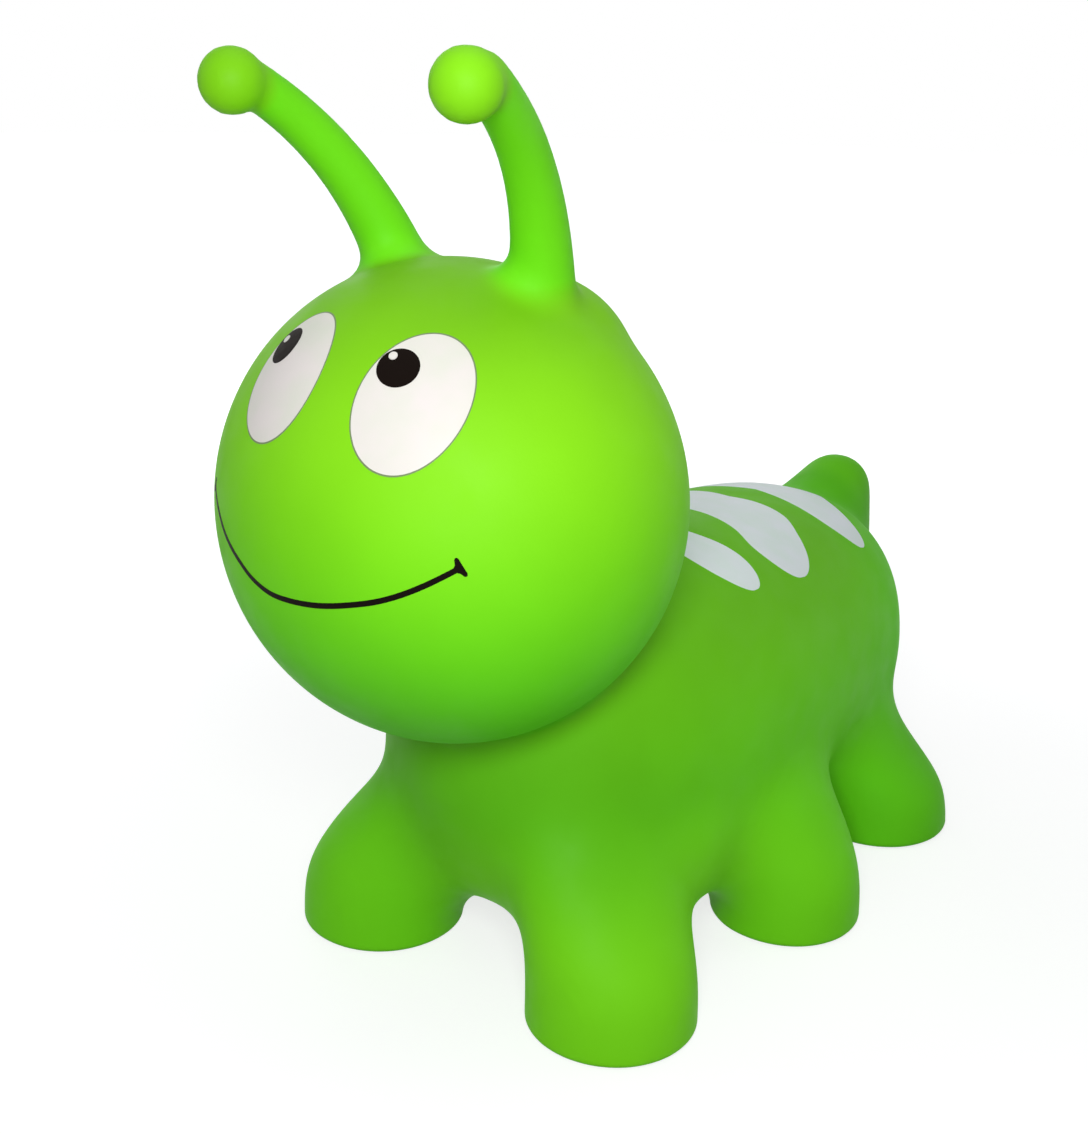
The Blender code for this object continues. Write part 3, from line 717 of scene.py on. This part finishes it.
def skin_tones(points):
    """How much painted light each point gets, from painted shade at 0 to lit at 1, and how far painted warm
    light from above tints its green yellow, from 0 to 1.
    """
    x, y, z = points.T
    tones = np.array(head_tones(x, z), float)
    reach = np.linalg.norm((points - np.array(HEAD_CENTRE)) / np.array(HEAD_RADII), axis=1)
    tones += (np.array(body_tones(x, y, z)) - tones) * eased(*HEAD_EDGE, reach) * (z < 0.40)
    stem, bulb = (np.array(pair)[:, None] for pair in (STEM_TONES, BALL_TONES))
    for side in SIDES:
        root, along = (np.array(v) for v in on_curve(ANTENNAE[side], 0))
        rise = (points - root) @ along
        off = np.linalg.norm(points - root - rise[:, None] * along, axis=1)
        on_stem = eased(-0.006, 0.012, rise) * np.maximum(1 - eased(0.020, 0.034, off), z > 0.47)
        tones += (stem - tones) * on_stem
    for centre in ANTENNA_BALLS.values():
        off = np.linalg.norm(points - np.array(centre), axis=1)
        tones += (bulb - tones) * (1 - eased(0.9 * ANTENNA_BALL, 1.5 * ANTENNA_BALL, off))
    return {"lit_skin_and_thin_ink": tones[0], "warm_light_from_above": tones[1]}


def read(items, key, width, kind=np.float32):
    """An attribute of a mesh's items as an array with that many columns."""
    values = np.zeros(len(items) * width, kind)
    items.foreach_get(key, values)
    return values.reshape(-1, width) if width > 1 else values


def skin_piece(name, part, wall):
    """One part of the skin, with its wall, shaded as the whole skin is."""
    bm = bmesh.new()
    bm.from_mesh(the_mould().data)
    label = bm.faces.layers.int["part"]
    others = [face for face in bm.faces if face[label] != PARTS.index(part)]
    bmesh.ops.delete(bm, geom=others, context="FACES")
    bmesh.ops.solidify(bm, geom=bm.faces[:], thickness=wall)
    thing = new_object(name, bm)
    mesh = thing.data
    mesh.shade_smooth()
    corners = read(mesh.loops, "vertex_index", 1, np.int32)
    corners_each = read(mesh.polygons, "loop_total", 1, np.int32)
    facing = np.repeat(read(mesh.polygons, "normal", 3), corners_each, axis=0)
    normals = read(mesh.attributes["outward"].data, "vector", 3)[corners]
    agree = (normals * facing).sum(axis=1)
    normals[agree < 0] *= -1
    rim = np.abs(agree) < 0.5
    normals[rim] = facing[rim]
    mesh.normals_split_custom_set(normals)
    # The skin's points hold its painted light and shade and its painted warm light from above
    for key, values in skin_tones(read(mesh.vertices, "co", 3)).items():
        mesh.attributes.new(key, "FLOAT", "POINT").data.foreach_set("value", values)
    for key in ("outward", "part"):
        mesh.attributes.remove(mesh.attributes[key])
    return thing


def node(tree, kind, inputs=None, **settings):
    """Add a node with its settings, and its inputs as values or as sockets to link."""
    made = tree.nodes.new(kind)
    for key, value in settings.items():
        setattr(made, key, value)
    for key, value in (inputs or {}).items():
        if isinstance(value, bpy.types.NodeSocket):
            tree.links.new(value, made.inputs[key])
        else:
            made.inputs[key].default_value = value
    return made


def new_material(name):
    """A material, and its tree, its shader and the object's own coordinates if it is yet to be made."""
    material = bpy.data.materials.get(name)
    if material is not None:
        return material, None, None, None
    material = bpy.data.materials.new(name)
    material.use_nodes = True
    tree = material.node_tree
    place = node(tree, "ShaderNodeTexCoord").outputs["Object"]
    return material, tree, tree.nodes["Principled BSDF"], place


def settled(shader, constants):
    """Set the inputs of a shader that nothing is linked to."""
    for key, value in constants.items():
        shader.inputs[key].default_value = value


def opaque(tint):
    return (*tint, 1.0)


def noise(tree, place, scale, detail, roughness=0.5):
    """Patches of 0 to 1, about 1 / scale metres across."""
    patches = {"Vector": place, "Scale": scale, "Detail": detail, "Roughness": roughness}
    return node(tree, "ShaderNodeTexNoise", patches).outputs["Fac"]


def spread(tree, value, low, high, start=0.3, end=0.7):
    """A value from start to end, spread over low to high."""
    limits = {"Value": value, "From Min": start, "From Max": end, "To Min": low, "To Max": high}
    return node(tree, "ShaderNodeMapRange", limits).outputs["Result"]


def mixed(tree, share, first, second):
    """The first colour where share is 0, and the second where it is 1."""
    mix = node(tree, "ShaderNodeMix", {"Factor": share, "A": first, "B": second}, data_type="RGBA")
    return mix.outputs[2]


def either(tree, first, second):
    """The sum of two values, from 0 to 1."""
    return node(tree, "ShaderNodeMath", {0: first, 1: second}, operation="ADD", use_clamp=True).outputs[0]


def attribute(tree, name):
    """A value that the mesh holds at its points."""
    return node(tree, "ShaderNodeAttribute", attribute_name=name).outputs["Fac"]


def vinyl_material():
    """Rotomoulded soft PVC, matt from the mould's wall: pigment a little uneven, painted light and shade in
    its green, a faint orange peel.
    """
    material, tree, shader, place = new_material("rotomoulded_pvc_lime")
    if tree is None:
        return material
    colours = bpy.context.scene.hopper_colours
    # The first attribute holds painted light and shade: 1 where the green is painted lit, 0 where painted
    # shade darkens it; the pigment also drifts in clouds about 70 mm across
    drift = spread(tree, noise(tree, place, 14.0, 2.0), -0.08, 0.08)
    share = either(tree, attribute(tree, "lit_skin_and_thin_ink"), drift)
    tint = mixed(tree, share, opaque(colours.vinyl_shaded), opaque(colours.vinyl))
    # The second attribute holds painted warm light from above: 1 where it tints the green yellow the most,
    # by about 11 degrees of hue
    hue = spread(tree, attribute(tree, "warm_light_from_above"), 0.5, 0.470, start=0.0, end=1.0)
    shifted = node(tree, "ShaderNodeHueSaturation", {"Hue": hue, "Color": tint})
    tree.links.new(shifted.outputs["Color"], shader.inputs["Base Color"])
    # The sheen varies in patches about 20 mm across, where hands have polished it
    satin = spread(tree, noise(tree, place, 50.0, 3.0, roughness=0.6), 0.54, 0.66)
    tree.links.new(satin, shader.inputs["Roughness"])
    # The orange peel is about 0.5 mm in the real skin, drawn 2 mm so that it shows
    peel = {"Height": noise(tree, place, 500.0, 2.0), "Strength": 0.12, "Distance": 0.0003}
    bump = node(tree, "ShaderNodeBump", peel)
    tree.links.new(bump.outputs["Normal"], shader.inputs["Normal"])
    settled(shader, {"IOR": 1.52, "Specular IOR Level": 0.15})
    return material


def white_ink_material(name, ink):
    """Screen-printed vinyl ink, opaque white and a little satin, laid too thinly to be quite even."""
    material, tree, shader, place = new_material(name)
    if tree is None:
        return material
    colours = bpy.context.scene.hopper_colours
    # Ink lies thicker and thinner in patches about 25 mm across
    share = spread(tree, noise(tree, place, 40.0, 3.0), 0.0, 0.10, start=0.35, end=0.75)
    # Where the ink lies thinner, the vinyl's painted lit green shows through it
    lit_skin_and_thin_ink = mixed(tree, share, opaque(ink), opaque(colours.vinyl))
    # The rim attribute is 1 in the last 0.7 mm round an eye, where the ink ends in a darker line
    tint = mixed(tree, attribute(tree, "rim"), lit_skin_and_thin_ink, opaque(colours.outline))
    tree.links.new(tint, shader.inputs["Base Color"])
    settled(shader, {"Roughness": 0.5, "IOR": 1.5, "Specular IOR Level": 0.3})
    return material


def black_ink_material():
    """Screen-printed black vinyl ink, about as matt as the skin."""
    material, tree, shader, place = new_material("printed_black_ink")
    if tree is None:
        return material
    # Squeegee streaks about 3 mm apart change the gloss
    gloss = spread(tree, noise(tree, place, 330.0, 2.0), 0.42, 0.52)
    tree.links.new(gloss, shader.inputs["Roughness"])
    black = opaque(bpy.context.scene.hopper_colours.black_ink)
    settled(shader, {"Base Color": black, "IOR": 1.5, "Specular IOR Level": 0.03})
    return material


def valve_material():
    """Injection-moulded clear vinyl, milky where it is thick."""
    material, tree, shader, place = new_material("milky_clear_vinyl")
    if tree is None:
        return material
    # Flow marks about 4 mm apart
    gloss = spread(tree, noise(tree, place, 250.0, 1.0), 0.22, 0.34)
    tree.links.new(gloss, shader.inputs["Roughness"])
    settled(shader, {
        "Base Color": opaque(bpy.context.scene.hopper_colours.valve), "IOR": 1.52,
        "Subsurface Weight": 0.3, "Subsurface Radius": (0.002, 0.002, 0.002),
    })
    return material


def laid(tree, origin, direction):
    """Where a ray meets the skin, and the skin's direction there."""
    point, normal, _, _ = tree.ray_cast(origin, direction)
    if point is None:
        raise RuntimeError("a print misses the skin")
    return point, normal


def eye_place(name):
    """A frame on the head at an eye: X level, Y up the head, Z out of it."""
    bearing, height = (math.radians(a) for a in EYES[name]["at"])
    level = Vector((math.sin(bearing), -math.cos(bearing), 0.0)) * math.cos(height)
    unit = level + Vector((0.0, 0.0, math.sin(height)))
    out = Vector([unit[k] / HEAD_RADII[k] for k in range(3)]).normalized()
    across = Vector((0, 0, 1)).cross(out).normalized()
    place = Matrix((across, out.cross(across), out)).transposed().to_4x4()
    place.translation = HEAD_CENTRE + unit * HEAD_RADII
    return place


def disc_film(name, tree, place, outline, centre, low, high, rim_width=0.0):
    """A film of ink with a closed outline, from low to high over the skin."""
    size = sum(Vector(p).length for p in outline) / len(outline)
    shares = [0.04, 0.16, 0.28, 0.40, 0.52, 0.64, 0.76, 0.86, 0.93]
    # Two rings close together give the line round an eye a crisp inner edge
    inner = 1 - (rim_width or PLAIN_RIM) / size
    shares += [inner - 0.004, inner, 1.0]
    levels = [(share, low, 0.0) for share in shares]
    marks = [0.0] * (len(shares) - 2) + [1.0, 1.0] if rim_width else [0.0] * len(shares)
    levels += [(share, high, mark) for share, mark in zip(reversed(shares), reversed(marks))]
    rings = []
    for share, height, _ in levels:
        ring = []
        for x, y in outline:
            above = place @ Vector((centre[0] + share * x, centre[1] + share * y, EYE_ABOVE))
            point, normal = laid(tree, above, -place.col[2].xyz)
            ring.append(point + normal * height)
        rings.append(ring)
    bm = bmesh.new()
    rim = bm.verts.layers.float.new("rim")
    for loop, (_, _, mark) in zip(swept(bm, rings), levels):
        for vert in loop:
            vert[rim] = mark
    return edged(name, bm, PRINT_EDGE)


def band_film(name, stations, lay, low, high, across):
    """A film of ink along stations of (centre, half width vector), from low to high over the skin."""
    rings = []
    for centre, half in stations:
        row = [lay(centre + half * (2 * k / across - 1)) for k in range(across + 1)]
        ring = [point + normal * high for point, normal in row]
        ring += [point + normal * low for point, normal in reversed(row)]
        rings.append(ring)
    bm = bmesh.new()
    swept(bm, rings)
    return edged(name, bm, PRINT_EDGE)


def oval(radii, lean=0.0, egg=0.0, points=96):
    """An oval outline, its long axis leaning by degrees, fuller at one end."""
    turn = Matrix.Rotation(math.radians(lean), 2)
    outline = []
    for k in range(points):
        y = radii[1] * math.sin(math.tau * k / points)
        x = radii[0] * math.cos(math.tau * k / points) * (1 + egg * y / radii[1])
        outline.append(turn @ Vector((x, y)))
    return outline


def turned(name, place, profile):
    """A body turned about Z from a profile of (radius, height), closed on itself or on the axis."""
    bm = bmesh.new()
    points = [bm.verts.new((radius, 0.0, height)) for radius, height in profile]
    pairs = list(zip(points, points[1:]))
    if profile[0][0] > 0:
        pairs.append((points[-1], points[0]))
    edges = [bm.edges.new(pair) for pair in pairs]
    bmesh.ops.spin(
        bm, geom=points + edges, axis=(0, 0, 1), cent=(0, 0, 0), angle=math.tau, steps=64, use_merge=True)
    bmesh.ops.remove_doubles(bm, verts=bm.verts, dist=1e-6)
    bmesh.ops.translate(bm, vec=place, verts=bm.verts)
    return edged(name, bm, VALVE_EDGE)


def rigid_skin(part):
    """A part of the skin that moves with no joint."""
    thing = skin_piece(f"{part}_skin", part, bpy.context.scene.hopper_sizes.wall)
    standing_for(part, thing, vinyl_material())


class HOPPER_OT_mould(bpy.types.Operator):
    """Blow the whole skin in its mould, as a helper that the skin's pieces are cut from"""

    bl_idname = "hopper.mould"
    bl_label = "Blow the skin"

    def execute(self, context):
        blow_mould(context.scene.hopper_sizes)
        return {"FINISHED"}


class HOPPER_OT_head(bpy.types.Operator):
    """Round head, from the crease under it up to the antennae"""

    bl_idname = "hopper.head"
    bl_label = "Head"

    def execute(self, context):
        rigid_skin("head")
        return {"FINISHED"}


class HOPPER_OT_torso(bpy.types.Operator):
    """Barrel of the body, with the webs that the legs swell out of"""

    bl_idname = "hopper.torso"
    bl_label = "Torso"

    def execute(self, context):
        rigid_skin("torso")
        return {"FINISHED"}


class HOPPER_OT_tail(bpy.types.Operator):
    """Blunt tail on the rump"""

    bl_idname = "hopper.tail"
    bl_label = "Tail"

    def execute(self, context):
        rigid_skin("tail")
        return {"FINISHED"}


class HOPPER_OT_legs(bpy.types.Operator):
    """Six stubby legs; on the real toy they give above their soles when it bounces, here they are built
    rigid
    """

    bl_idname = "hopper.legs"
    bl_label = "Legs"

    def execute(self, context):
        for name, at in FEET.items():
            leg = skin_piece(f"leg_skin_{name}", f"leg_{name}", context.scene.hopper_sizes.wall)
            finished(leg, vinyl_material())
            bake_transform(leg)
            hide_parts(f"leg_{name}", f"foot_{name}")
        return {"FINISHED"}


class HOPPER_OT_antennae(bpy.types.Operator):
    """Two bent antennae with ball ends, which serve as handles; on the real toy they bend near their roots,
    here they are built rigid
    """

    bl_idname = "hopper.antennae"
    bl_label = "Antennae"

    def execute(self, context):
        wall = context.scene.hopper_sizes.wall
        for side in SIDES:
            antenna = skin_piece(f"antenna_skin_{side}", f"antenna_{side}", wall)
            finished(antenna, vinyl_material())
            start = on_curve(ANTENNAE[side], ANTENNA_CUT)[0]
            end = on_curve(ANTENNAE[side], ANTENNA_FLEX_END)[0]
            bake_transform(antenna)
            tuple(start)
            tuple(end)
            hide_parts(f"antenna_root_{side}", f"antenna_{side}")
        return {"FINISHED"}


class HOPPER_OT_eyes(bpy.types.Operator):
    """Printed eyes: a white oval, a black pupil on it and a white glint on that"""

    bl_idname = "hopper.eyes"
    bl_label = "Eyes"

    def execute(self, context):
        film = context.scene.hopper_sizes.film
        ink = white_ink_material("printed_warm_white_ink", context.scene.hopper_colours.eye_ink)
        tree = skin_tree()
        for name, eye in EYES.items():
            place = eye_place(name)
            outline = oval(eye["radii"], eye["lean"], eye["egg"])
            white = disc_film(
                f"eye_white_print_{name}", tree, place, outline, (0, 0), -film, film, rim_width=EYE_RIM)
            standing_for(f"eye_white_{name}", white, ink)
            shape = oval(eye["pupil_radii"])
            pupil = disc_film(
                f"pupil_print_{name}", tree, place, shape, eye["pupil"], film / 2, 2 * film)
            standing_for(f"pupil_{name}", pupil, black_ink_material())
            shape = oval((GLINT_RADIUS,) * 2, points=32)
            glint = disc_film(
                f"eye_glint_print_{name}", tree, place, shape, eye["glint"], 3 * film / 2, 3 * film)
            standing_for(f"eye_glint_{name}", glint, ink)
        return {"FINISHED"}


class HOPPER_OT_mouth(bpy.types.Operator):
    """Printed smile, a thin line with a short tick across each end"""

    bl_idname = "hopper.mouth"
    bl_label = "Mouth"

    def execute(self, context):
        sizes = context.scene.hopper_sizes
        tree = skin_tree()

        def lay(point):
            return laid(tree, Vector((point.x, HEAD_CENTRE.y - MOUTH_AHEAD, point.y)), Vector((0, 1, 0)))

        def station(angle, half, shift=0.0, lean=0.0):
            radius = value_at(MOUTH_KEYS, angle)[0]
            a = math.radians(angle)
            out = Vector((math.sin(a), -math.cos(a)))
            along = Vector((math.cos(a), math.sin(a)))
            centre = Vector(MOUTH_CENTRE) + out * radius + along * shift
            return centre, Matrix.Rotation(math.radians(lean), 2) @ out * half

        first, last = MOUTH_KEYS[0][0], MOUTH_KEYS[-1][0]
        stations = [station(first, half, -shift, TICK_LEAN) for shift, half in reversed(TICK_KEYS)]
        steps = 90
        for k in range(steps + 1):
            fade = 1 - MOUTH_THINNING + MOUTH_THINNING * math.sin(math.pi * k / steps)
            stations.append(station(first + (last - first) * k / steps, sizes.mouth_line / 2 * fade))
        stations += [station(last, half, shift, -TICK_LEAN) for shift, half in TICK_KEYS]
        mouth = band_film("mouth_print", stations, lay, -sizes.film, sizes.film, 6)
        standing_for("mouth", mouth, black_ink_material())
        return {"FINISHED"}


class HOPPER_OT_stripes(bpy.types.Operator):
    """Three white stripes printed over the back"""

    bl_idname = "hopper.stripes"
    bl_label = "Stripes"

    def execute(self, context):
        film = context.scene.hopper_sizes.film
        ink = white_ink_material("printed_cool_white_ink", context.scene.hopper_colours.stripe_ink)
        tree = skin_tree()

        def lay(point):
            return laid(tree, Vector((point.x, point.y, HEAD_CENTRE.z)), Vector((0, 0, -1)))

        for name, keys in STRIPES.items():
            stations = []
            steps = 120
            for k in range(steps + 1):
                reach = -math.cos(math.pi * (STRIPE_TRIM + (1 - 2 * STRIPE_TRIM) * k / steps))
                middle, half_width = value_at(keys, keys[-1][0] * abs(reach))
                swell = half_width * math.sqrt(1 - abs(reach) ** STRIPE_ROUNDING[name])
                stations.append((Vector((keys[-1][0] * reach, middle)), Vector((0.0, swell))))
            stripe = band_film(f"stripe_print_{name}", stations, lay, -film, film, 20)
            standing_for(f"back_stripe_{name}", stripe, ink)
        return {"FINISHED"}


class HOPPER_OT_valve(bpy.types.Operator):
    """Valve seat in the belly, and the ribbed plug that closes it"""

    bl_idname = "hopper.valve"
    bl_label = "Valve"

    def execute(self, context):
        low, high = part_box("valve_seat")
        place = Vector(((low.x + high.x) / 2, (low.y + high.y) / 2, low.z))
        seat = turned("valve_seat_moulding", place, SEAT_PROFILE)
        standing_for("valve_seat", seat, valve_material())
        ribs = [(radius, base + rise) for base in PLUG_RIB_HEIGHTS for radius, rise in PLUG_RIB]
        plug = turned("valve_plug_moulding", place, [*PLUG_HEAD, *ribs, *PLUG_TIP])
        standing_for("valve_plug", plug, valve_material(), body="valve_plug")
        return {"FINISHED"}


def seen(tree):
    """1 for what is seen straight, mirrored or through glass, and 0 for what lights the object."""
    path = node(tree, "ShaderNodeLightPath").outputs
    straight_or_mirrored = either(tree, path["Is Camera Ray"], path["Is Glossy Ray"])
    return either(tree, straight_or_mirrored, path["Is Transmission Ray"])


class HOPPER_OT_stage(bpy.types.Operator):
    """Plain pale floor, soft light and the camera"""

    bl_idname = "hopper.stage"
    bl_label = "Stage"

    def execute(self, context):
        scene = context.scene
        colours = scene.hopper_colours
        bm = bmesh.new()
        bmesh.ops.create_circle(bm, cap_ends=True, segments=96, radius=FLOOR_RADIUS)
        floor = new_object("floor", bm)
        material, tree, shader, place = new_material("painted_studio_floor")
        settled(shader, {
            "Base Color": opaque(colours.floor), "Roughness": 0.9, "Emission Color": (1, 1, 1, 1)})
        reach = node(tree, "ShaderNodeVectorMath", {0: place}, operation="LENGTH")
        limits = {
            "Value": reach.outputs["Value"], "From Min": FLOOR_FADE[0], "From Max": FLOOR_FADE[1],
            "To Min": FLOOR_GLOW, "To Max": 1.0,
        }
        white = node(tree, "ShaderNodeMapRange", limits, interpolation_type="SMOOTHSTEP")
        glow = node(tree, "ShaderNodeMath", {0: seen(tree), 1: white.outputs[0]}, operation="MULTIPLY")
        tree.links.new(glow.outputs[0], shader.inputs["Emission Strength"])
        floor.data.materials.append(material)
        self.light(scene)
        self.world(scene)
        self.camera(scene)
        scene.view_settings.view_transform = "Standard"
        return {"FINISHED"}

    def light(self, scene):
        for name, place, target, size, power in LAMPS:
            data = bpy.data.lights.new(name, "AREA")
            data.shape = "DISK"
            data.size = size
            data.energy = power
            lamp = bpy.data.objects.new(name, data)
            lamp.location = place
            lamp.rotation_euler = (Vector(place) - Vector(target)).to_track_quat("Z", "Y").to_euler()
            scene.collection.objects.link(lamp)

    def world(self, scene):
        world = bpy.data.worlds.new("studio")
        scene.world = world
        world.use_nodes = True
        tree = world.node_tree
        on_view = seen(tree)
        strength = spread(tree, on_view, AMBIENT, 1.0, start=0.0, end=1.0)
        tint = mixed(tree, on_view, opaque(AMBIENT_TINT), (1, 1, 1, 1))
        background = tree.nodes["Background"]
        tree.links.new(tint, background.inputs["Color"])
        tree.links.new(strength, background.inputs["Strength"])

    def camera(self, scene):
        data = bpy.data.cameras.new("camera")
        data.sensor_width = 36.0
        data.lens = CAMERA_LENS
        camera = bpy.data.objects.new("camera", data)
        yaw, pitch, roll = (math.radians(a) for a in CAMERA_TURN)
        turn = Matrix.Rotation(yaw, 4, "Z") @ Matrix.Rotation(math.pi / 2 + pitch, 4, "X")
        camera.matrix_world = Matrix.Translation(CAMERA_AT) @ turn @ Matrix.Rotation(roll, 4, "Z")
        scene.collection.objects.link(camera)
        scene.camera = camera


class HOPPER_PT_panel(bpy.types.Panel):
    """The hopper's pieces, in the order that they are built"""

    bl_idname = "HOPPER_PT_panel"
    bl_label = "Inflatable hopper"
    bl_space_type = "VIEW_3D"
    bl_region_type = "UI"
    bl_category = "Hopper"

    def draw(self, context):
        layout = self.layout
        for group in (context.scene.hopper_sizes, context.scene.hopper_colours):
            for name in group.__annotations__:
                layout.prop(group, name)
        for operator in OPERATORS:
            layout.operator(operator.bl_idname)


OPERATORS = (
    HOPPER_OT_mould, HOPPER_OT_head, HOPPER_OT_torso, HOPPER_OT_tail, HOPPER_OT_legs, HOPPER_OT_antennae,
    HOPPER_OT_eyes, HOPPER_OT_mouth, HOPPER_OT_stripes, HOPPER_OT_valve, HOPPER_OT_stage,
)
CLASSES = (HopperSizes, HopperColours, *OPERATORS, HOPPER_PT_panel)


def register():
    for each in CLASSES:
        bpy.utils.register_class(each)
    bpy.types.Scene.hopper_sizes = bpy.props.PointerProperty(type=HopperSizes)
    bpy.types.Scene.hopper_colours = bpy.props.PointerProperty(type=HopperColours)


def unregister():
    del bpy.types.Scene.hopper_colours
    del bpy.types.Scene.hopper_sizes
    for each in reversed(CLASSES):
        bpy.utils.unregister_class(each)


def main():
    register()
    bpy.ops.hopper.mould()
    bpy.ops.hopper.head()
    bpy.ops.hopper.torso()
    bpy.ops.hopper.tail()
    bpy.ops.hopper.legs()
    bpy.ops.hopper.antennae()
    bpy.ops.hopper.eyes()
    bpy.ops.hopper.mouth()
    bpy.ops.hopper.stripes()
    bpy.ops.hopper.valve()
    bpy.ops.hopper.stage()
    bpy.data.objects.remove(the_mould())


if __name__ == "__main__":
    main()
